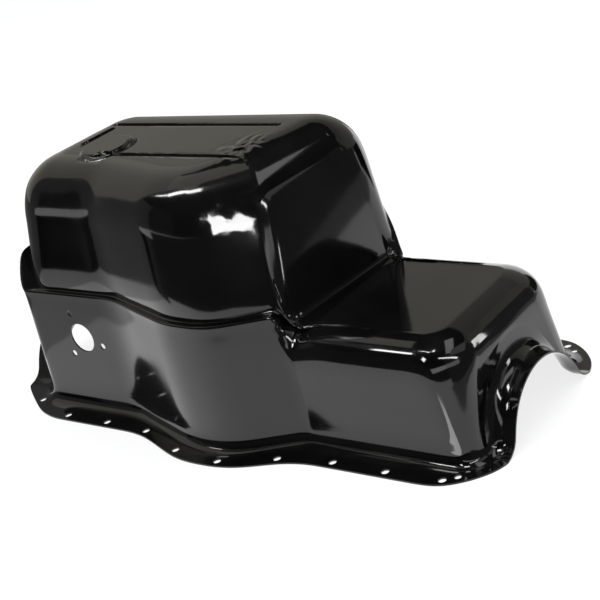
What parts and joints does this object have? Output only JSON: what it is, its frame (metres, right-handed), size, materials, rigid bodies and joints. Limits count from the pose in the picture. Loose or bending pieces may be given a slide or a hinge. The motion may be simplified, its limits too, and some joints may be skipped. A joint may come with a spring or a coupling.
{
  "type": "engine oil pan",
  "caption": "Pressed steel engine oil pan with a deep rear sump, a shallow front end, a bolted flange, seal arches at both ends, a sensor opening and a drain plug.",
  "frame": {"origin": "middle of the gasket face: centre of the main rail bolt rectangle, on the plane the pan is bolted by", "axes": "+X along the engine from the deep sump towards the shallow front end, +Y across it away from the bulge, +Z from the gasket face towards the sump's floor"},
  "size_m": [0.576, 0.263, 0.2515],
  "materials": {
    "black_paint": "gloss",
    "nut_paint": "gloss",
    "washer_metal": "satin",
    "plug_steel": "satin"
  },
  "bodies": {
    "root": {"pan_shell": "black_paint", "drain_nut": "nut_paint", "drain_washer": "washer_metal", "drain_plug": "plug_steel"}
  },
  "joints": []
}
